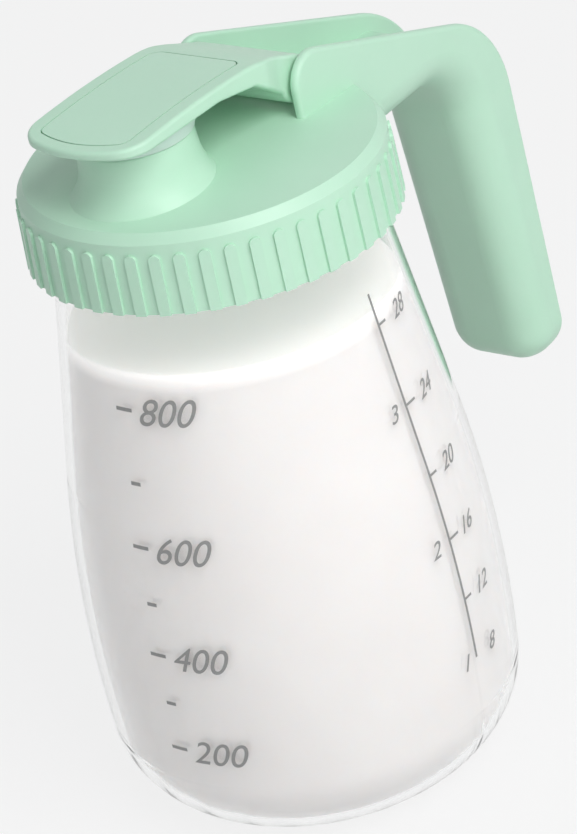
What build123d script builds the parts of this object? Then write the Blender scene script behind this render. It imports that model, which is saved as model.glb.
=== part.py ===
"""Milk storage container: a clear bottle, a screw lid with a spout and a long handle, and a flip cap.

The bottle stands on the plane Z = 0 with its axis on Z. The spout points towards -Y and the handle
towards +Y. Lengths are in millimetres.
"""
from build123d import *
import os
from math import acos, asin, atan, atan2, cos, degrees, hypot, radians, sin, sqrt

os.makedirs("parts", exist_ok=True)

# Bottle
belly_radius = 51.3
belly_height = 41.0
base_corner = 23.0
taper_start = 89.3
body_height = 146.2
neck_radius = 38.5
neck_height = 15.5
bottle_wall = 1.9
neck_wall = 2.2
rim_round = 0.7

# Screw thread
thread_lead = 6.0
thread_turns = 1.0
thread_start = 4.2
thread_depth = 1.5
thread_thickness = 2.0
thread_flank = 0.5
thread_gap = 0.35
thread_root_bury = 0.4
skirt_clearance = 0.5

# Lid skirt, shoulder and dome
skirt_wall = 2.6
skirt_flare = 0.6
skirt_height = 17.0
shoulder_inset = 1.8
shoulder_rise = 2.3
dome_rise = 2.1
dome_thickness = 2.1
rib_count = 48
rib_width = 2.7
rib_height = 14.8
rib_relief = 0.7
rib_round = 1.0
rib_bury = 0.6

# Seal and the ring that holds it
seal_thickness = 1.7
seal_inner_radius = 35.2
seal_outer_radius = 39.6
seal_gap = 0.05
keeper_gap = 0.3
keeper_wall = 1.4
keeper_height = 4.0

# Spout
spout_y = -20.0
spout_height = 13.4
spout_rim_radius = 13.5
spout_waist_radius = 14.0
spout_waist_height = 8.0
spout_foot_radius = 21.5
spout_wall = 2.3
spout_round = 0.7

# Handle, seen from the side
hinge_y = 21.0
hinge_height = 28.4
cheek_front = 16.2
cheek_round = 7.5
arm_top_height = 37.8
arm_fall = 0.368
arm_bottom_height = 2.0
grip_back_top = 99.2
grip_back_foot = 105.7
grip_front_top = 80.6
grip_front_foot = 91.7
grip_foot_height = -88.4
bend_round = 28.0
hook_round = 16.0
foot_front_round = 8.0
foot_back_round = 9.0
root_y = 36.0

# Handle, seen from above
cheek_half_width = 18.5
grip_half_width = 14.2
cheek_wall = 2.4
grip_wall = 2.9
edge_round = 9.0
rim_outer_round = 1.2
rim_inner_round = 0.8
ledge_y = 22.8
ledge_gap = 0.8
ledge_round = 0.8
floor_slope_start = 45.0
floor_slope_fall = 1.4
floor_landing = 60.0
floor_round = 6.0
web_thickness = 7.0
channel_hook_round = 9.0
channel_foot_round = 2.0

# Flip cap
cap_half_width = 16.75
cap_front = -42.4
cap_front_bow = 4.5
cap_corner_round = 8.5
cap_front_height = 39.3
cap_crown_y = -20.0
cap_crown_height = 40.4
cap_crown_end = 9.0
cap_crown_end_height = 39.2
cap_crown_blend = 40.0
cap_under_front_height = 37.2
cap_under_height = 36.6
cap_under_end = -8.0
cap_notch_y = 5.0
cap_notch_height = 34.3
cap_notch_round = 1.5
cap_under_blend = 12.0
cap_trim = 1.0
cap_edge_round = 0.9
neck_side_gap = 0.9
neck_taper_start = 9.0
neck_taper_end = 15.0
neck_plan_round = 8.0
neck_shell = 2.2
neck_wall_thickness = 2.0
neck_meet_angle = 196.0
neck_meet_round = 1.5
neck_pocket_gap = 1.4
knuckle_radius = 5.6
knuckle_shell_gap = 0.1

# Panel let into the cap
panel_half_width = 12.7
panel_rear = 6.5
panel_front = -39.4
panel_front_bow = 3.0
panel_corner_round = 3.0
panel_floor_height = 38.1
panel_groove = 0.35

# Plug under the cap
plug_rim_gap = 0.2
plug_foot_radius = 13.9
plug_top_radius = 15.4
plug_boss_radius = 10.7
plug_boss_depth = 3.8
plug_boss_wall = 1.6

# Hinge pin
pin_radius = 2.0
pin_run_clearance = 0.06
pin_seat_clearance = 0.02
pin_seat_depth = 1.3
pin_seat_end_gap = 0.1
pin_chamfer = 0.3

# Worked-out places
taper_run = (taper_start - belly_height) / 2 + body_height - taper_start
taper_angle = atan((belly_radius - neck_radius) / taper_run)
shoulder_arc = (taper_start - belly_height) / sin(taper_angle)
shoulder_arc_x = belly_radius - shoulder_arc
corner_x = shoulder_arc_x + sqrt((shoulder_arc - base_corner) ** 2 - (belly_height - base_corner) ** 2)
corner_angle = -asin((belly_height - base_corner) / (shoulder_arc - base_corner))
rim_height = body_height + neck_height
skirt_bore = neck_radius + thread_depth + skirt_clearance
skirt_top_radius = skirt_bore + skirt_wall
skirt_foot_radius = skirt_top_radius + skirt_flare
shoulder_radius = skirt_top_radius - shoulder_inset
plate_height = neck_height + seal_thickness + 2 * seal_gap
dome_edge_height = skirt_height + shoulder_rise
dome_top_height = dome_edge_height + dome_rise
dome_radius = (shoulder_radius**2 + dome_rise**2) / (2 * dome_rise)
spout_rim_height = dome_edge_height + spout_height
keeper_outer_radius = seal_inner_radius - keeper_gap
ledge_rise = hinge_height - knuckle_radius - ledge_gap
past = 20.0


def half_width(y, near, far):
    """Half width at y of a shape that narrows evenly from near, at the cheeks, to far, at the grip's foot."""
    share = (y - cheek_front) / (grip_back_foot - cheek_front)
    return near + (far - near) * share


cheek_inner_half_width = half_width(hinge_y, cheek_half_width - cheek_wall, grip_half_width - grip_wall)
neck_half_width = cheek_inner_half_width - neck_side_gap
pin_half_length = cheek_inner_half_width + pin_seat_depth


def on_wall(edge, near, far):
    """Whether an edge runs along a side of the handle's walls that narrows from near to far."""
    middle = edge.center()
    return abs(abs(middle.X) - half_width(middle.Y, near, far)) < rim_inner_round / 10


def up(height):
    """The level plane that lies at a height above the skirt's lower edge."""
    return Plane.XY.offset(body_height + height)


def flask(inset, neck_inset, top):
    """A solid with the bottle's outline, its walls moved inward by an inset."""
    arc_radius = shoulder_arc - inset
    corner_radius = base_corner - inset
    with BuildPart() as body:
        with BuildSketch(Plane.XZ):
            with BuildLine():
                foot = Line((0, inset), (corner_x, inset))
                corner = CenterArc(
                    (corner_x, base_corner), corner_radius, -90, 90 + degrees(corner_angle)
                )
                belly = CenterArc(
                    (shoulder_arc_x, belly_height),
                    arc_radius,
                    degrees(corner_angle),
                    degrees(taper_angle - corner_angle),
                )
                Polyline(
                    belly @ 1,
                    (neck_radius - neck_inset, body_height),
                    (neck_radius - neck_inset, top),
                    (0, top),
                    foot @ 0,
                )
            make_face()
        revolve(axis=Axis.Z)
    return body.part


def screw_rib(root, crest, middle):
    """One turn of thread rib between two radii, its middle starting at a height above the skirt's edge."""
    path = Helix(
        pitch=thread_lead,
        height=thread_lead * thread_turns,
        radius=root,
        center=(0, 0, body_height + middle),
    )
    outward = 1 if crest > root else -1
    foot = -thread_root_bury * outward
    tip = crest - root
    wide = thread_thickness / 2 + thread_flank * thread_root_bury / thread_depth
    narrow = thread_thickness / 2 - thread_flank
    with BuildPart() as rib:
        with BuildSketch(Plane(origin=path @ 0, x_dir=(1, 0, 0), z_dir=path % 0)):
            with BuildLine():
                Polyline((foot, -wide), (tip, -narrow), (tip, narrow), (foot, wide), close=True)
            make_face()
        sweep(path=path, is_frenet=True)
    return rib.part


# Bottle
neck_rib = screw_rib(neck_radius, neck_radius + thread_depth, thread_start)

with BuildPart() as bottle:
    add(flask(0, 0, rim_height))
    add(flask(bottle_wall, neck_wall, rim_height + past), mode=Mode.SUBTRACT)
    fillet(bottle.edges().filter_by(GeomType.CIRCLE).group_by(Axis.Z)[-1], rim_round)
    add(neck_rib)
bottle.part.label = "bottle"
export_step(bottle.part, "parts/bottle.step")


# Seal
with BuildPart() as lid_seal:
    with BuildSketch(up(neck_height + seal_gap)):
        Circle(seal_outer_radius)
        Circle(seal_inner_radius, mode=Mode.SUBTRACT)
    extrude(amount=seal_thickness)
lid_seal.part.label = "lid_seal"
export_step(lid_seal.part, "parts/lid_seal.step")


# Handle, joined to the lid further down
handle_side = Plane.YZ.shift_origin((0, 0, body_height))
far_y = grip_back_foot + past
far_top = arm_top_height + past

with BuildPart() as handle:
    with BuildSketch(handle_side):
        with BuildLine():
            lower = FilletPolyline(
                (root_y, arm_bottom_height),
                (grip_front_top, arm_bottom_height),
                (grip_front_foot, grip_foot_height),
                (far_y, grip_foot_height),
                radius=[hook_round, foot_front_round],
            )
            Polyline(
                lower @ 1,
                (far_y, far_top),
                (cheek_front, far_top),
                (cheek_front, plate_height + dome_thickness / 2),
                (root_y, plate_height + dome_thickness / 2),
                lower @ 0,
            )
        make_face()
    extrude(amount=cheek_half_width + past, both=True)
    with BuildSketch(up(grip_foot_height - past)):
        with BuildLine():
            near_y = cheek_front - past
            near = half_width(near_y, cheek_half_width, grip_half_width)
            far = half_width(far_y + past, cheek_half_width, grip_half_width)
            Polyline((near, near_y), (far, far_y + past), (-far, far_y + past), (-near, near_y), close=True)
        make_face()
    extrude(amount=far_top - grip_foot_height + 2 * past, mode=Mode.INTERSECT)
    soft = handle.edges().filter_by(
        lambda edge: abs(edge.center().X) > 1
        and edge.center().Y > root_y + 1
        and edge.center().Y < far_y - 1
        and edge.center().Z < body_height + arm_bottom_height + 1
    )
    fillet(soft, edge_round)
    with BuildSketch(handle_side):
        with BuildLine():
            outline = FilletPolyline(
                (cheek_front, grip_foot_height - past),
                (cheek_front, arm_top_height),
                (grip_back_top, arm_top_height - arm_fall * (grip_back_top - cheek_front)),
                (grip_back_foot, grip_foot_height),
                (grip_front_foot - past, grip_foot_height),
                radius=[cheek_round, bend_round, foot_back_round],
            )
            Line(outline @ 1, outline @ 0)
        make_face()
    extrude(amount=cheek_half_width + past, both=True, mode=Mode.INTERSECT)
    with BuildSketch(handle_side):
        with BuildLine():
            channel = FilletPolyline(
                (ledge_y, 0),
                (ledge_y, ledge_rise),
                (floor_slope_start, ledge_rise - floor_slope_fall),
                (floor_landing, arm_bottom_height + web_thickness),
                (grip_front_top + web_thickness, arm_bottom_height + web_thickness),
                (grip_front_foot + web_thickness, grip_foot_height + web_thickness),
                (far_y, grip_foot_height + web_thickness),
                radius=[ledge_round, floor_round, floor_round, channel_hook_round, channel_foot_round],
            )
            Polyline(
                channel @ 1,
                (far_y, far_top),
                (cheek_front - past, far_top),
                (cheek_front - past, 0),
                channel @ 0,
            )
        make_face()
    channel_tool = extrude(amount=cheek_half_width + past, both=True, mode=Mode.PRIVATE)
    with BuildSketch(up(grip_foot_height - past)):
        with BuildLine():
            near_y = cheek_front - past
            near = half_width(near_y, cheek_half_width - cheek_wall, grip_half_width - grip_wall)
            far = half_width(far_y + past, cheek_half_width - cheek_wall, grip_half_width - grip_wall)
            Polyline((near, near_y), (far, far_y + past), (-far, far_y + past), (-near, near_y), close=True)
        make_face()
    plan_tool = extrude(amount=far_top - grip_foot_height + 2 * past, mode=Mode.PRIVATE)
    add(channel_tool & plan_tool, mode=Mode.SUBTRACT)
    wall_tops = handle.faces().filter_by(
        lambda face: abs(face.center().X) > cheek_wall and abs(face.normal_at().X) < 0.3
    )
    rims = wall_tops.edges()
    inside = rims.filter_by(
        lambda edge: on_wall(edge, cheek_half_width - cheek_wall, grip_half_width - grip_wall)
    )
    outside = rims.filter_by(lambda edge: on_wall(edge, cheek_half_width, grip_half_width))
    fillet(inside, rim_inner_round)
    fillet(outside, rim_outer_round)


# Lid
lid_rib = screw_rib(skirt_bore, skirt_bore - thread_depth, thread_start - thread_thickness - thread_gap)
skirt_lean = degrees(atan((skirt_foot_radius - skirt_top_radius) / skirt_height))
rib_plane = Plane(
    origin=(skirt_foot_radius + rib_relief, 0, body_height),
    x_dir=(0, 1, 0),
    z_dir=(cos(radians(skirt_lean)), 0, sin(radians(skirt_lean))),
)

with BuildPart() as lid:
    with BuildSketch(handle_side):
        with BuildLine():
            dome = CenterArc(
                (0, dome_top_height - dome_radius),
                dome_radius,
                90,
                -degrees(asin(shoulder_radius / dome_radius)),
            )
            Polyline(
                dome @ 1,
                (skirt_top_radius, skirt_height),
                (skirt_foot_radius, 0),
                (0, 0),
                dome @ 0,
            )
        make_face()
    revolve(axis=Axis.Z)
    with BuildSketch(Plane.YZ.shift_origin((0, spout_y, body_height))):
        with BuildLine():
            wall = Line(
                (spout_rim_radius, spout_rim_height),
                (spout_waist_radius, dome_edge_height + spout_waist_height),
            )
            foot = TangentArc(
                wall @ 1, (spout_foot_radius, dome_edge_height - dome_rise), tangent=wall % 1
            )
            Polyline(foot @ 1, (0, dome_edge_height - dome_rise), (0, spout_rim_height), wall @ 0)
        make_face()
    revolve(axis=Axis(origin=(0, spout_y, 0), direction=(0, 0, 1)))
    add(handle.part)
    fillet(
        lid.edges().filter_by(GeomType.CIRCLE).filter_by(
            lambda edge: abs(edge.center().Z - body_height - spout_rim_height) < 0.1
        ),
        spout_round,
    )
    # Ribs around the skirt
    with BuildSketch(rib_plane):
        with BuildLine():
            Polyline(
                (-rib_width / 2, rib_height - rib_round),
                (-rib_width / 2, 0),
                (rib_width / 2, 0),
                (rib_width / 2, rib_height - rib_round),
            )
            ThreePointArc(
                (rib_width / 2, rib_height - rib_round),
                (0, rib_height),
                (-rib_width / 2, rib_height - rib_round),
            )
        make_face()
    rib = extrude(amount=-rib_relief - rib_bury, mode=Mode.PRIVATE)
    with PolarLocations(0, rib_count):
        add(rib)
    # Inside of the skirt and the underside of the dome
    with BuildSketch(handle_side):
        with BuildLine():
            Polyline(
                (0, plate_height + dome_edge_height - skirt_height),
                (0, -past),
                (skirt_bore, -past),
                (skirt_bore, plate_height),
                (keeper_outer_radius, plate_height),
                (keeper_outer_radius, plate_height - keeper_height),
                (keeper_outer_radius - keeper_wall, plate_height - keeper_height),
                (keeper_outer_radius - keeper_wall, plate_height),
                close=True,
            )
        make_face()
    revolve(axis=Axis.Z, mode=Mode.SUBTRACT)
    add(lid_rib)
    with BuildSketch(Plane.XY.offset(body_height)):
        with Locations((0, spout_y)):
            Circle(spout_rim_radius - spout_wall)
    extrude(amount=spout_rim_height + past, mode=Mode.SUBTRACT)
    with BuildSketch(Plane.YZ):
        with Locations((hinge_y, body_height + hinge_height)):
            Circle(pin_radius + pin_seat_clearance)
    extrude(amount=pin_half_length + pin_seat_end_gap, both=True, mode=Mode.SUBTRACT)
lid.part.label = "lid"
export_step(lid.part, "parts/lid.step")


# Hinge pin
with BuildPart() as hinge_pin:
    with BuildSketch(Plane.YZ):
        with Locations((hinge_y, body_height + hinge_height)):
            Circle(pin_radius)
    extrude(amount=pin_half_length, both=True)
    chamfer(hinge_pin.edges().filter_by(GeomType.CIRCLE), pin_chamfer)
hinge_pin.part.label = "hinge_pin"
export_step(hinge_pin.part, "parts/hinge_pin.step")


# Flip cap
pin_centre = (hinge_y, hinge_height)


def tangent_angle(y, height):
    """Angle on the knuckle, in degrees, where a line from a point touches its upper side."""
    away_y = y - hinge_y
    away_z = height - hinge_height
    turn = acos(knuckle_radius / hypot(away_y, away_z))
    return degrees(atan2(away_z, away_y)) - degrees(turn)


def crown_height(y):
    """Height of the straight run of the cap's top, between its crown and the knuckle."""
    touch = radians(tangent_angle(cap_crown_end, cap_crown_end_height))
    run = hinge_y + knuckle_radius * cos(touch) - cap_crown_end
    fall = cap_crown_end_height - hinge_height - knuckle_radius * sin(touch)
    return cap_crown_end_height - fall / run * (y - cap_crown_end)


pocket_front = cap_notch_y + neck_pocket_gap
pocket_back = hinge_y - knuckle_radius - knuckle_shell_gap


def cap_blank():
    """The cap's body: its side outline carried across, cut to its outline from above."""
    crown_touch = tangent_angle(cap_crown_end, cap_crown_end_height)
    with BuildPart() as blank:
        with BuildSketch(handle_side) as side:
            with BuildLine():
                crown = ThreePointArc(
                    (cap_front - cap_trim, cap_front_height),
                    (cap_crown_y, cap_crown_height),
                    (cap_crown_end, cap_crown_end_height),
                )
                knuckle = CenterArc(
                    pin_centre, knuckle_radius, crown_touch, neck_meet_angle - crown_touch - 360
                )
                Line(crown @ 1, knuckle @ 0)
                under = FilletPolyline(
                    knuckle @ 1,
                    (cap_notch_y, cap_notch_height),
                    (cap_under_end, cap_under_height),
                    (cap_front - cap_trim, cap_under_front_height),
                    radius=[cap_notch_round, cap_under_blend],
                )
                Line(under @ 1, crown @ 0)
            make_face()
            crest = side.vertices().sort_by_distance((cap_crown_end, cap_crown_end_height))[0]
            fillet(crest, cap_crown_blend)
            meeting = (
                hinge_y + knuckle_radius * cos(radians(neck_meet_angle)),
                hinge_height + knuckle_radius * sin(radians(neck_meet_angle)),
            )
            fillet(side.vertices().sort_by_distance(meeting)[0], neck_meet_round)
        extrude(amount=cap_half_width + past, both=True)
        with BuildSketch(up(0)) as plan:
            with BuildLine():
                front = ThreePointArc(
                    (-cap_half_width, cap_front + cap_front_bow),
                    (0, cap_front),
                    (cap_half_width, cap_front + cap_front_bow),
                )
                Polyline(
                    front @ 1,
                    (cap_half_width, neck_taper_start),
                    (neck_half_width, neck_taper_end),
                    (neck_half_width, hinge_y + knuckle_radius + past),
                    (-neck_half_width, hinge_y + knuckle_radius + past),
                    (-neck_half_width, neck_taper_end),
                    (-cap_half_width, neck_taper_start),
                    front @ 0,
                )
            make_face()
            corners = plan.vertices().group_by(Axis.Y)
            fillet(corners[0], cap_corner_round)
            shoulders = plan.vertices().filter_by(
                lambda corner: corner.Y > neck_taper_start - 1 and corner.Y < neck_taper_end + 1
            )
            fillet(shoulders, neck_plan_round)
        extrude(amount=dome_top_height + past, mode=Mode.INTERSECT)
    return blank.part


def panel_outline(inset):
    """The panel's outline from above, moved inward by an inset."""
    with BuildSketch(up(panel_floor_height)) as outline:
        with BuildLine():
            front = ThreePointArc(
                (-panel_half_width, panel_front + panel_front_bow),
                (0, panel_front),
                (panel_half_width, panel_front + panel_front_bow),
            )
            Polyline(
                front @ 1,
                (panel_half_width, panel_rear),
                (-panel_half_width, panel_rear),
                front @ 0,
            )
        make_face()
        fillet(outline.vertices(), panel_corner_round)
        if inset > 0:
            offset(amount=-inset)
    return outline.sketch


blank = cap_blank()

with BuildPart() as flip_cap:
    add(blank)
    rim_edges = flip_cap.edges().filter_by(
        lambda edge: edge.center().Y < cap_notch_y
        and abs(edge.tangent_at(0.5).Z) < 0.9
        and (abs(edge.center().X) > 1 or edge.center().Y < cap_front + cap_front_bow)
    )
    fillet(rim_edges, cap_edge_round)
    extrude(panel_outline(0), amount=past, mode=Mode.SUBTRACT)
    # Hollow under the neck
    with BuildSketch(handle_side):
        with BuildLine():
            Polyline(
                (pocket_front, cap_under_height - past),
                (pocket_front, cap_crown_end_height - neck_shell),
                (cap_crown_end, cap_crown_end_height - neck_shell),
                (pocket_back, crown_height(pocket_back) - neck_shell),
                (pocket_back, cap_under_height - past),
                close=True,
            )
        make_face()
    extrude(amount=neck_half_width - neck_wall_thickness, both=True, mode=Mode.SUBTRACT)
    with BuildSketch(Plane.YZ):
        with Locations((hinge_y, body_height + hinge_height)):
            Circle(pin_radius + pin_run_clearance)
    extrude(amount=cap_half_width, both=True, mode=Mode.SUBTRACT)
flip_cap.part.label = "flip_cap"
export_step(flip_cap.part, "parts/flip_cap.step")


# Panel in the cap
with BuildPart() as cap_inlay:
    add(blank)
    extrude(panel_outline(panel_groove), amount=past, mode=Mode.INTERSECT)
cap_inlay.part.label = "cap_inlay"
export_step(cap_inlay.part, "parts/cap_inlay.step")


# Plug under the cap
plug_foot_height = spout_rim_height + plug_rim_gap

with BuildPart() as spout_plug:
    with BuildSketch(Plane.YZ.shift_origin((0, spout_y, body_height))):
        with BuildLine():
            Polyline(
                (0, cap_under_front_height),
                (plug_top_radius, cap_under_front_height),
                (plug_foot_radius, plug_foot_height),
                (plug_boss_radius, plug_foot_height),
                (plug_boss_radius, plug_foot_height - plug_boss_depth),
                (plug_boss_radius - plug_boss_wall, plug_foot_height - plug_boss_depth),
                (plug_boss_radius - plug_boss_wall, plug_foot_height),
                (0, plug_foot_height),
                close=True,
            )
        make_face()
    revolve(axis=Axis(origin=(0, spout_y, 0), direction=(0, 0, 1)))
    add(blank, mode=Mode.SUBTRACT)
spout_plug.part.label = "spout_plug"
export_step(spout_plug.part, "parts/spout_plug.step")
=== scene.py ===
"""Milk storage container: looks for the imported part.

Lengths are in metres, in the part's own frame: the bottle stands on Z = 0, the spout points to -Y and the
handle to +Y.
"""
import math

import bmesh
import bpy
from mathutils import Matrix, Vector


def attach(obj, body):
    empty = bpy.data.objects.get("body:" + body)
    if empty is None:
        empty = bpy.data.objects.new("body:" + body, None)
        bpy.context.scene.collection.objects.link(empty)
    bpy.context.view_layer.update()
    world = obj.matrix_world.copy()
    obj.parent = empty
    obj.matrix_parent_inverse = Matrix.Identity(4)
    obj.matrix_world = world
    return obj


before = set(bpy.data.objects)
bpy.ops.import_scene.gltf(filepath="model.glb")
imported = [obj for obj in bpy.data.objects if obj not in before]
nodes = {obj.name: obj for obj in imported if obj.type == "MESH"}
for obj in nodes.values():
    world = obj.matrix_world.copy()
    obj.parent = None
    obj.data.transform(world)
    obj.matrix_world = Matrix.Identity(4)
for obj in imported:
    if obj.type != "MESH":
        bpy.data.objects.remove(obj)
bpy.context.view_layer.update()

# Colours
MINT_DARK, MINT_LIGHT = (0.515, 0.777, 0.602), (0.531, 0.793, 0.618)
# Painted light: the cap's panel is the same mint plastic, made slightly lighter for the brighter light on
# its upward face
LIT_PANEL_DARK, LIT_PANEL_LIGHT = (0.523, 0.787, 0.612), (0.539, 0.803, 0.628)
SILICONE_DARK, SILICONE_LIGHT = (0.60, 0.76, 0.68), (0.66, 0.81, 0.74)
STEEL_DARK, STEEL_LIGHT = (0.52, 0.52, 0.53), (0.66, 0.66, 0.67)
MILK_DARK, MILK_LIGHT = (0.875, 0.845, 0.835), (0.90, 0.875, 0.865)
INK_DARK, INK_LIGHT = (0.27, 0.27, 0.265), (0.31, 0.31, 0.305)
CLEAR_COLOUR = (0.985, 0.99, 0.99, 1)
NOISE_LOW = 0.3
NOISE_HIGH = 0.7

# The bottle's outline
BELLY_RADIUS = 0.0513
BELLY_HEIGHT = 0.0410
BASE_CORNER = 0.0230
TAPER_START = 0.0893
BODY_HEIGHT = 0.1462
NECK_RADIUS = 0.0385
BOTTLE_WALL = 0.0019
NECK_WALL = 0.0022
ARC_STEPS = 60

# Milk
MILK_LEVEL = BODY_HEIGHT - 0.0183
MILK_GAP = 0.00015
MENISCUS_RISE = 0.0007
MENISCUS_REACH = 0.0012
MENISCUS_SPAN = 5 * MENISCUS_REACH
INNER_SHARES = (0.8, 0.6, 0.4, 0.2)
# Painted light: an emission in the milk, strongest at its surface, that lifts the shade under the lid
PAINTED_LIGHT_DEPTH = 0.004
PAINTED_SURFACE_LIGHT = 0.36
PAINTED_LIGHT_COLOUR = (1.0, 0.97, 0.955, 1)
SURFACE_STEPS = 30
ROUND_SIDES = 192

# Printed scales
INK_GAP = 0.00002
INK_THICKNESS = 0.00006
INK_CELL = 0.0012
WELD_DISTANCE = 1e-5
SCALE_ANGLE = math.radians(0.5)
SCALE_TOP = BODY_HEIGHT - 0.0128
SCALE_FOOT = BODY_HEIGHT - 0.1091
SCALE_LINE = 0.00065
TICK_HEIGHT = 0.0006
TICK_GAP = 0.00005
LONG_TICK = 0.0038
SHORT_TICK = 0.0028
DIGIT_HEIGHT = 0.0041
DIGIT_LEAN = math.tan(math.radians(20))
OUNCE_HEIGHTS = {28: 0.0207, 24: 0.0413, 20: 0.0597, 16: 0.0767, 12: 0.0930, 8: 0.1091}
OUNCE_PLACES = {28: 0.0099, 24: 0.0099, 20: 0.0092, 16: 0.0090, 12: 0.0091, 8: 0.0078}
CUP_HEIGHTS = {3: 0.0413, 2: 0.0767, 1: 0.1087}
CUP_PLACES = {3: -0.0041, 2: -0.0046, 1: -0.0034}
METRIC_ANGLE = math.radians(-88)
METRIC_DIGIT_HEIGHT = 0.0066
METRIC_TICK = 0.0045
METRIC_SHORT_SHARE = 0.6
METRIC_TICK_HALF = TICK_HEIGHT * 0.75
METRIC_PLACE = 0.0095
METRIC_STEP = 1e-4
METRIC_LAST = 8

# Camera, from a perspective fit of the photograph
CAMERA_PLACE = Vector((0.5455, -0.5935, 0.5303))
CAMERA_RIGHT = Vector((0.792954, 0.580255, -0.185840))
CAMERA_UP = Vector((-0.155907, 0.488095, 0.858756))
FOCAL_PIXELS = 3871.2
PHOTO_HEIGHT = 834
SENSOR = 36.0
NEAREST = 0.01
FARTHEST = 20

# Studio
FLOOR_SIZE = 6.0
BACKGROUND = 0.94
SHADOW_SHARE = 0.12
FLOOR_TONE = 0.8
FLOOR_DROP = 0.0002
WALL_SHADOW = 0.74
SURROUND_COLOUR = (0.94, 0.97, 1.0, 1)
SURROUND_STRENGTH = 0.34
LAMP_SIZE = 0.9
LAMP_TARGET = Vector((0, 0, 0.1))
KEY_PLACE = (0.97, -0.22, 1.08)
KEY_POWER = 13.5
FRONT_PLACE = (0.96, -1.03, 0.41)
FRONT_POWER = 2.2


# Materials
def new_material(name):
    """An empty node material and its Principled shader."""
    material = bpy.data.materials.new(name)
    material.use_nodes = True
    tree = material.node_tree
    tree.nodes.clear()
    shader = tree.nodes.new("ShaderNodeBsdfPrincipled")
    output = tree.nodes.new("ShaderNodeOutputMaterial")
    tree.links.new(shader.outputs["BSDF"], output.inputs["Surface"])
    return material, tree, shader


def noise(tree, scale, detail=2.0, stretch=(1, 1, 1)):
    """Noise that is fixed to the piece, in cycles per metre."""
    place = tree.nodes.new("ShaderNodeTexCoord")
    mapping = tree.nodes.new("ShaderNodeMapping")
    mapping.inputs["Scale"].default_value = stretch
    texture = tree.nodes.new("ShaderNodeTexNoise")
    texture.inputs["Scale"].default_value = scale
    texture.inputs["Detail"].default_value = detail
    tree.links.new(place.outputs["Object"], mapping.inputs["Vector"])
    tree.links.new(mapping.outputs["Vector"], texture.inputs["Vector"])
    return texture.outputs["Fac"]


def spread(tree, value, low, high):
    """A noise value carried over to the range from low to high."""
    node = tree.nodes.new("ShaderNodeMapRange")
    node.inputs["From Min"].default_value = NOISE_LOW
    node.inputs["From Max"].default_value = NOISE_HIGH
    node.inputs["To Min"].default_value = low
    node.inputs["To Max"].default_value = high
    tree.links.new(value, node.inputs["Value"])
    return node.outputs["Result"]


def vary_colour(tree, shader, value, dark, light):
    """Colours the shader between two close colours."""
    ramp = tree.nodes.new("ShaderNodeValToRGB")
    ramp.color_ramp.elements[0].position = NOISE_LOW
    ramp.color_ramp.elements[0].color = (*dark, 1)
    ramp.color_ramp.elements[1].position = NOISE_HIGH
    ramp.color_ramp.elements[1].color = (*light, 1)
    tree.links.new(value, ramp.inputs["Fac"])
    tree.links.new(ramp.outputs["Color"], shader.inputs["Base Color"])


def roughen(tree, shader, value, depth, strength=1.0):
    """A fine relief on the surface."""
    bump = tree.nodes.new("ShaderNodeBump")
    bump.inputs["Strength"].default_value = strength
    bump.inputs["Distance"].default_value = depth
    tree.links.new(value, bump.inputs["Height"])
    tree.links.new(bump.outputs["Normal"], shader.inputs["Normal"])


def satin_plastic(name, dark, light):
    """Moulded plastic with the fine grain of an eroded mould."""
    material, tree, shader = new_material(name)
    vary_colour(tree, shader, noise(tree, 60, 4), dark, light)
    tree.links.new(spread(tree, noise(tree, 900, 3), 0.36, 0.46), shader.inputs["Roughness"])
    roughen(tree, shader, noise(tree, 5200, 2), 0.00002, 0.35)
    shader.inputs["IOR"].default_value = 1.46
    shader.inputs["Subsurface Weight"].default_value = 0.12
    shader.inputs["Subsurface Radius"].default_value = (0.6, 1.0, 0.8)
    shader.inputs["Subsurface Scale"].default_value = 0.0012
    return material


def silicone():
    """Pale, slightly translucent silicone."""
    material, tree, shader = new_material("silicone")
    vary_colour(tree, shader, noise(tree, 90, 3), SILICONE_DARK, SILICONE_LIGHT)
    tree.links.new(spread(tree, noise(tree, 1200, 2), 0.42, 0.55), shader.inputs["Roughness"])
    roughen(tree, shader, noise(tree, 4000, 2), 0.00002, 0.3)
    shader.inputs["IOR"].default_value = 1.41
    shader.inputs["Subsurface Weight"].default_value = 0.35
    shader.inputs["Subsurface Radius"].default_value = (0.8, 1.0, 0.9)
    shader.inputs["Subsurface Scale"].default_value = 0.003
    return material


def drawn_steel():
    """Steel pin with lines drawn along it."""
    material, tree, shader = new_material("drawn_steel")
    lines = noise(tree, 3000, 3, (0.04, 1, 1))
    vary_colour(tree, shader, lines, STEEL_DARK, STEEL_LIGHT)
    tree.links.new(spread(tree, lines, 0.22, 0.38), shader.inputs["Roughness"])
    shader.inputs["Metallic"].default_value = 1.0
    return material


def clear_plastic():
    """Clear moulded plastic with a faint waviness, which lets the lamps through to the milk."""
    material, tree, shader = new_material("clear_plastic")
    shader.inputs["Base Color"].default_value = CLEAR_COLOUR
    shader.inputs["Transmission Weight"].default_value = 1.0
    shader.inputs["IOR"].default_value = 1.49
    tree.links.new(spread(tree, noise(tree, 400, 3), 0.0, 0.03), shader.inputs["Roughness"])
    roughen(tree, shader, noise(tree, 35, 1), 0.0002, 0.06)
    path = tree.nodes.new("ShaderNodeLightPath")
    through = tree.nodes.new("ShaderNodeBsdfTransparent")
    through.inputs["Color"].default_value = (WALL_SHADOW, WALL_SHADOW, WALL_SHADOW, 1)
    mix = tree.nodes.new("ShaderNodeMixShader")
    tree.links.new(path.outputs["Is Shadow Ray"], mix.inputs["Fac"])
    tree.links.new(shader.outputs["BSDF"], mix.inputs[1])
    tree.links.new(through.outputs["BSDF"], mix.inputs[2])
    output = next(node for node in tree.nodes if node.type == "OUTPUT_MATERIAL")
    tree.links.new(mix.outputs["Shader"], output.inputs["Surface"])
    return material


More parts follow.
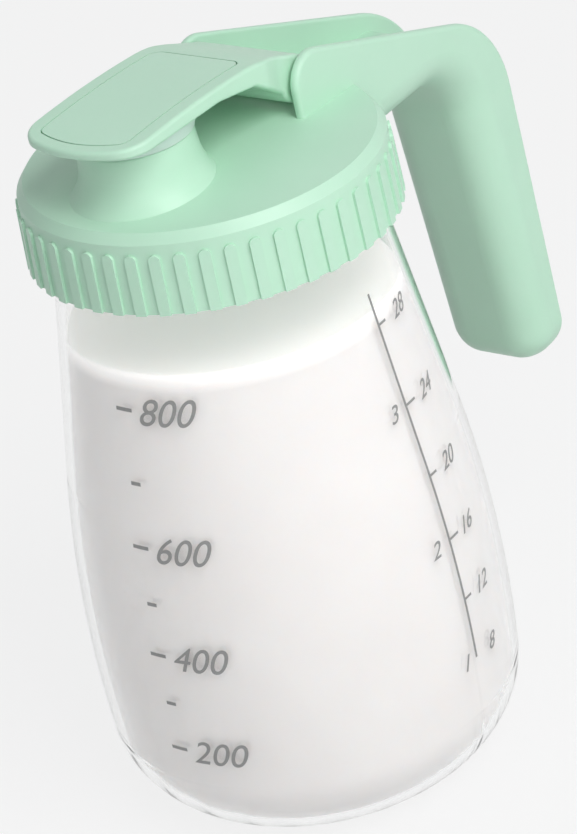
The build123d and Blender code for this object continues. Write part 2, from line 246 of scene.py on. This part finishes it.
def milk_liquid():
    """Milk: nearly white, soft, with faint clouds of cream, and painted light: an emission that brightens
    it towards its surface in the lid's shade.
    """
    material, tree, shader = new_material("milk_liquid")
    vary_colour(tree, shader, noise(tree, 45, 5), MILK_DARK, MILK_LIGHT)
    tree.links.new(spread(tree, noise(tree, 300, 2), 0.28, 0.36), shader.inputs["Roughness"])
    roughen(tree, shader, noise(tree, 80, 2), 0.0001, 0.1)
    shader.inputs["IOR"].default_value = 1.35
    shader.inputs["Subsurface Weight"].default_value = 0.5
    shader.inputs["Subsurface Radius"].default_value = (1.0, 0.85, 0.75)
    shader.inputs["Subsurface Scale"].default_value = 0.005
    # Painted light: emission rising to the milk's surface, standing in for lamp light that the lid shades
    # off
    place = tree.nodes.new("ShaderNodeTexCoord")
    split = tree.nodes.new("ShaderNodeSeparateXYZ")
    glow = tree.nodes.new("ShaderNodeMapRange")
    glow.inputs["From Min"].default_value = MILK_LEVEL - PAINTED_LIGHT_DEPTH
    glow.inputs["From Max"].default_value = MILK_LEVEL
    glow.inputs["To Max"].default_value = PAINTED_SURFACE_LIGHT
    tree.links.new(place.outputs["Object"], split.inputs["Vector"])
    tree.links.new(split.outputs["Z"], glow.inputs["Value"])
    tree.links.new(glow.outputs["Result"], shader.inputs["Emission Strength"])
    shader.inputs["Emission Color"].default_value = PAINTED_LIGHT_COLOUR
    return material


def scale_ink():
    """Grey screen-printed ink, a little uneven in density."""
    material, tree, shader = new_material("scale_ink")
    vary_colour(tree, shader, noise(tree, 2500, 4), INK_DARK, INK_LIGHT)
    tree.links.new(spread(tree, noise(tree, 1500, 2), 0.45, 0.6), shader.inputs["Roughness"])
    roughen(tree, shader, noise(tree, 6000, 2), 0.00001, 0.4)
    return material


mint = satin_plastic("mint_plastic", MINT_DARK, MINT_LIGHT)
# Painted light: a lighter copy of the mint plastic for the cap's panel
mint_panel = satin_plastic("mint_panel", LIT_PANEL_DARK, LIT_PANEL_LIGHT)
soft = silicone()
NODE_MATERIALS = {
    "bottle": clear_plastic(),
    "lid": mint,
    "flip_cap": mint,
    "cap_inlay": mint_panel,
    "lid_seal": soft,
    "spout_plug": soft,
    "hinge_pin": drawn_steel(),
}
for name, material in NODE_MATERIALS.items():
    mesh = nodes[name].data
    mesh.materials.clear()
    mesh.materials.append(material)


# Outline of the bottle, worked out as in the part's source
taper_run = (TAPER_START - BELLY_HEIGHT) / 2 + BODY_HEIGHT - TAPER_START
taper_angle = math.atan((BELLY_RADIUS - NECK_RADIUS) / taper_run)
shoulder_arc = (TAPER_START - BELLY_HEIGHT) / math.sin(taper_angle)
shoulder_x = BELLY_RADIUS - shoulder_arc
corner_x = shoulder_x + math.sqrt(
    (shoulder_arc - BASE_CORNER) ** 2 - (BELLY_HEIGHT - BASE_CORNER) ** 2
)
corner_angle = -math.asin((BELLY_HEIGHT - BASE_CORNER) / (shoulder_arc - BASE_CORNER))


def arc(centre, radius, start, end):
    """Points along an arc, as pairs of distance from the axis and height."""
    turns = [start + (end - start) * step / ARC_STEPS for step in range(ARC_STEPS + 1)]
    return [(centre[0] + radius * math.cos(turn), centre[1] + radius * math.sin(turn)) for turn in turns]


def outline(inset, neck_inset):
    """The bottle's outline, moved inward, from the middle of the base to the foot of the neck."""
    corner = arc((corner_x, BASE_CORNER), BASE_CORNER - inset, -math.pi / 2, corner_angle)
    belly = arc((shoulder_x, BELLY_HEIGHT), shoulder_arc - inset, corner_angle, taper_angle)
    foot_x, foot_z = belly[-1]
    top_x, top_z = NECK_RADIUS - neck_inset, BODY_HEIGHT
    taper = [
        (foot_x + (top_x - foot_x) * step / ARC_STEPS, foot_z + (top_z - foot_z) * step / ARC_STEPS)
        for step in range(1, ARC_STEPS + 1)
    ]
    return [(0, inset)] + corner + belly[1:] + taper


def radius_at(points, height):
    """Distance from the axis to an outline at a height."""
    for (near_x, near_z), (far_x, far_z) in zip(points, points[1:]):
        if near_z <= height <= far_z and far_z > near_z:
            return near_x + (far_x - near_x) * (height - near_z) / (far_z - near_z)
    return points[-1][0]


outer = outline(0, 0)
inner = outline(BOTTLE_WALL, NECK_WALL)


def filled_height(volume):
    """Height that a volume of milk reaches in the bottle, in cubic metres."""
    held = 0.0
    for (near_x, near_z), (far_x, far_z) in zip(inner, inner[1:]):
        slice_volume = math.pi * (far_z - near_z) * (near_x**2 + near_x * far_x + far_x**2) / 3
        if held + slice_volume >= volume:
            return near_z + (far_z - near_z) * (volume - held) / slice_volume
        held += slice_volume
    return BODY_HEIGHT


def add_piece(name, mesh, material, body):
    """Puts a mesh in the scene as a piece that rides on a body."""
    mesh.materials.append(material)
    piece = bpy.data.objects.new(name, mesh)
    bpy.context.scene.collection.objects.link(piece)
    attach(piece, body)
    return piece


# Milk
def turned_mesh(name, points):
    """A closed smooth mesh turned about the axis from points that start and end on it."""
    shape = bmesh.new()
    rings = []
    for x, z in points[1:-1]:
        turns = [2 * math.pi * side / ROUND_SIDES for side in range(ROUND_SIDES)]
        rings.append([shape.verts.new((x * math.cos(turn), x * math.sin(turn), z)) for turn in turns])
    first = shape.verts.new((0, 0, points[0][1]))
    last = shape.verts.new((0, 0, points[-1][1]))
    for side in range(ROUND_SIDES):
        after = (side + 1) % ROUND_SIDES
        shape.faces.new((first, rings[0][after], rings[0][side]))
        shape.faces.new((last, rings[-1][side], rings[-1][after]))
        for low, high in zip(rings, rings[1:]):
            shape.faces.new((low[side], low[after], high[after], high[side]))
    bmesh.ops.recalc_face_normals(shape, faces=shape.faces)
    mesh = bpy.data.meshes.new(name)
    shape.to_mesh(mesh)
    shape.free()
    mesh.polygons.foreach_set("use_smooth", [True] * len(mesh.polygons))
    return mesh


def milk_points():
    """The milk's outline: up the bottle's inner wall, then in over its surface, raised at the wall."""
    wall = outline(BOTTLE_WALL + MILK_GAP, NECK_WALL + MILK_GAP)
    points = [point for point in wall if point[1] < MILK_LEVEL]
    edge_radius = radius_at(wall, MILK_LEVEL + MENISCUS_RISE)
    for step in range(SURFACE_STEPS):
        away = MENISCUS_SPAN * (step / SURFACE_STEPS) ** 2
        rise = MENISCUS_RISE * math.exp(-away / MENISCUS_REACH)
        points.append((edge_radius - away, MILK_LEVEL + rise))
    for share in INNER_SHARES:
        points.append((edge_radius * share, MILK_LEVEL))
    return points + [(0, MILK_LEVEL)]


add_piece("milk", turned_mesh("milk", milk_points()), milk_liquid(), "bottle")


# Printed scales
def onto_bottle(point, angle):
    """Wraps a flat point (along, up, out) round the bottle, starting from an angle about its axis."""
    along, height, out = point
    radius = radius_at(outer, height)
    reach = INK_CELL
    slope = (radius_at(outer, height + reach) - radius_at(outer, height - reach)) / (2 * reach)
    normal = Vector((1, 0, -slope)).normalized() * out
    turn = Matrix.Rotation(angle + along / radius, 4, "Z")
    return turn @ (Vector((radius, 0, height)) + normal)


def add_bar(shape, left, right, low, high):
    """A thin printed bar on the flat sheet, in cells small enough to bend."""
    columns = max(1, math.ceil((right - left) / INK_CELL))
    rows = max(1, math.ceil((high - low) / INK_CELL))
    layers = []
    for out in (INK_GAP, INK_GAP + INK_THICKNESS):
        layers.append(
            [
                [
                    shape.verts.new(
                        (left + (right - left) * column / columns, low + (high - low) * row / rows, out)
                    )
                    for column in range(columns + 1)
                ]
                for row in range(rows + 1)
            ]
        )
    back, front = layers
    for row in range(rows):
        for column in range(columns):
            for layer in layers:
                shape.faces.new(
                    (
                        layer[row][column],
                        layer[row][column + 1],
                        layer[row + 1][column + 1],
                        layer[row + 1][column],
                    )
                )
    border = [(0, column) for column in range(columns)]
    border += [(row, columns) for row in range(rows)]
    border += [(rows, column) for column in range(columns, 0, -1)]
    border += [(row, 0) for row in range(rows, 0, -1)]
    for (row, column), (next_row, next_column) in zip(border, border[1:] + border[:1]):
        shape.faces.new(
            (
                back[row][column],
                back[next_row][next_column],
                front[next_row][next_column],
                front[row][column],
            )
        )


def add_number(shape, number, centre, height, digit_height):
    """A printed number on the flat sheet, centred on a point, in slanted figures."""
    curve = bpy.data.curves.new("figures", "FONT")
    curve.body = str(number)
    curve.extrude = 0.5
    curve.resolution_u = 6
    holder = bpy.data.objects.new("figures", curve)
    bpy.context.scene.collection.objects.link(holder)
    bpy.context.view_layer.update()
    flat = bpy.data.meshes.new_from_object(holder.evaluated_get(bpy.context.evaluated_depsgraph_get()))
    bpy.data.objects.remove(holder)
    figures = bmesh.new()
    figures.from_mesh(flat)
    bmesh.ops.remove_doubles(figures, verts=figures.verts, dist=WELD_DISTANCE)
    bmesh.ops.triangulate(figures, faces=figures.faces)
    low = min(vert.co.y for vert in figures.verts)
    high = max(vert.co.y for vert in figures.verts)
    left = min(vert.co.x for vert in figures.verts)
    right = max(vert.co.x for vert in figures.verts)
    scale = digit_height / (high - low)
    for vert in figures.verts:
        along = (vert.co.x - (left + right) / 2) * scale
        rise = (vert.co.y - (low + high) / 2) * scale
        out = INK_GAP + INK_THICKNESS * (vert.co.z > 0)
        vert.co = (centre + along + rise * DIGIT_LEAN, height + rise, out)
    for _ in range(3):
        long_edges = [edge for edge in figures.edges if edge.calc_length() > INK_CELL]
        if not long_edges:
            break
        bmesh.ops.subdivide_edges(figures, edges=long_edges, cuts=1)
        bmesh.ops.triangulate(figures, faces=figures.faces)
    figures.to_mesh(flat)
    figures.free()
    shape.from_mesh(flat)
    bpy.data.meshes.remove(flat)


def finish_print(name, shape, angle, material):
    """Wraps a flat printed sheet round the bottle and adds it as a piece."""
    for vert in shape.verts:
        vert.co = onto_bottle(vert.co, angle)
    bmesh.ops.recalc_face_normals(shape, faces=shape.faces)
    mesh = bpy.data.meshes.new(name)
    shape.to_mesh(mesh)
    shape.free()
    return add_piece(name, mesh, material, "bottle")


ink = scale_ink()

kitchen = bmesh.new()
add_bar(kitchen, -SCALE_LINE / 2, SCALE_LINE / 2, SCALE_FOOT, SCALE_TOP)
for ounces, drop in OUNCE_HEIGHTS.items():
    mark = BODY_HEIGHT - drop
    add_number(kitchen, ounces, OUNCE_PLACES[ounces], mark, DIGIT_HEIGHT)
    if ounces > 8:
        tick = SHORT_TICK if ounces % 8 else LONG_TICK
        foot = SCALE_LINE / 2 + TICK_GAP
        add_bar(kitchen, foot, tick, mark - TICK_HEIGHT / 2, mark + TICK_HEIGHT / 2)
for cups, drop in CUP_HEIGHTS.items():
    add_number(kitchen, cups, CUP_PLACES[cups], BODY_HEIGHT - drop, DIGIT_HEIGHT)
finish_print("kitchen_scale", kitchen, SCALE_ANGLE, ink)

metric = bmesh.new()
for step in range(2, METRIC_LAST + 1):
    mark = filled_height(step * METRIC_STEP)
    numbered = step % 2 == 0
    reach = METRIC_TICK if numbered else METRIC_TICK * METRIC_SHORT_SHARE
    add_bar(metric, -reach, 0, mark - METRIC_TICK_HALF, mark + METRIC_TICK_HALF)
    if numbered:
        add_number(metric, step * 100, METRIC_PLACE, mark, METRIC_DIGIT_HEIGHT)
finish_print("metric_scale", metric, METRIC_ANGLE, ink)


# Floor and world
def shown_background(tree):
    """1 for rays that show the background: the camera's, and those by gloss or through clear plastic."""
    path = tree.nodes.new("ShaderNodeLightPath")
    total = path.outputs["Is Camera Ray"]
    for name in ("Is Glossy Ray", "Is Transmission Ray"):
        node = tree.nodes.new("ShaderNodeMath")
        node.operation = "MAXIMUM"
        tree.links.new(total, node.inputs[0])
        tree.links.new(path.outputs[name], node.inputs[1])
        total = node.outputs[0]
    return total


def floor_material():
    """A plain pale floor that keeps a soft shadow."""
    material, tree, shader = new_material("pale_floor")
    tree.nodes.remove(shader)
    output = next(node for node in tree.nodes if node.type == "OUTPUT_MATERIAL")
    plain = tree.nodes.new("ShaderNodeBsdfDiffuse")
    plain.inputs["Color"].default_value = (FLOOR_TONE, FLOOR_TONE, FLOOR_TONE, 1)
    shadow = tree.nodes.new("ShaderNodeBsdfDiffuse")
    shadow.inputs["Color"].default_value = (SHADOW_SHARE, SHADOW_SHARE, SHADOW_SHARE, 1)
    glow = tree.nodes.new("ShaderNodeEmission")
    glow.inputs["Color"].default_value = (1, 1, 1, 1)
    glow.inputs["Strength"].default_value = BACKGROUND - SHADOW_SHARE
    both = tree.nodes.new("ShaderNodeAddShader")
    mix = tree.nodes.new("ShaderNodeMixShader")
    tree.links.new(shadow.outputs["BSDF"], both.inputs[0])
    tree.links.new(glow.outputs["Emission"], both.inputs[1])
    tree.links.new(shown_background(tree), mix.inputs["Fac"])
    tree.links.new(plain.outputs["BSDF"], mix.inputs[1])
    tree.links.new(both.outputs["Shader"], mix.inputs[2])
    tree.links.new(mix.outputs["Shader"], output.inputs["Surface"])
    return material


floor_mesh = bpy.data.meshes.new("floor")
half = FLOOR_SIZE / 2
corners = [(-half, -half, 0), (half, -half, 0), (half, half, 0), (-half, half, 0)]
floor_mesh.from_pydata(corners, [], [(0, 1, 2, 3)])
floor_mesh.materials.append(floor_material())
floor = bpy.data.objects.new("floor", floor_mesh)
floor.location.z = -FLOOR_DROP
bpy.context.scene.collection.objects.link(floor)

world = bpy.data.worlds.new("studio")
bpy.context.scene.world = world
world.use_nodes = True
sky_tree = world.node_tree
sky_tree.nodes.clear()
fill = sky_tree.nodes.new("ShaderNodeBackground")
fill.inputs["Color"].default_value = SURROUND_COLOUR
fill.inputs["Strength"].default_value = SURROUND_STRENGTH
seen = sky_tree.nodes.new("ShaderNodeBackground")
seen.inputs["Color"].default_value = (BACKGROUND, BACKGROUND, BACKGROUND, 1)
choose = sky_tree.nodes.new("ShaderNodeMixShader")
sky = sky_tree.nodes.new("ShaderNodeOutputWorld")
sky_tree.links.new(shown_background(sky_tree), choose.inputs["Fac"])
sky_tree.links.new(fill.outputs["Background"], choose.inputs[1])
sky_tree.links.new(seen.outputs["Background"], choose.inputs[2])
sky_tree.links.new(choose.outputs["Shader"], sky.inputs["Surface"])


def softbox(name, place, power):
    """A square area lamp that faces the bottle and isn't seen through the clear plastic."""
    lamp = bpy.data.lights.new(name, "AREA")
    lamp.size = LAMP_SIZE
    lamp.energy = power
    holder = bpy.data.objects.new(name, lamp)
    holder.location = place
    holder.rotation_mode = "QUATERNION"
    holder.rotation_quaternion = (LAMP_TARGET - Vector(place)).to_track_quat("-Z", "Y")
    holder.visible_transmission = False
    bpy.context.scene.collection.objects.link(holder)


softbox("key_lamp", KEY_PLACE, KEY_POWER)
softbox("front_lamp", FRONT_PLACE, FRONT_POWER)

# Camera
camera = bpy.data.cameras.new("camera")
camera.sensor_width = SENSOR
camera.lens = FOCAL_PIXELS * SENSOR / PHOTO_HEIGHT
camera.clip_start = NEAREST
camera.clip_end = FARTHEST
viewer = bpy.data.objects.new("camera", camera)
camera_back = CAMERA_RIGHT.cross(CAMERA_UP)
camera_turn = Matrix((CAMERA_RIGHT, CAMERA_UP, camera_back)).transposed().to_4x4()
viewer.matrix_world = Matrix.Translation(CAMERA_PLACE) @ camera_turn
bpy.context.scene.collection.objects.link(viewer)
bpy.context.scene.camera = viewer
bpy.context.scene.view_settings.view_transform = "Standard"

bpy.context.view_layer.update()
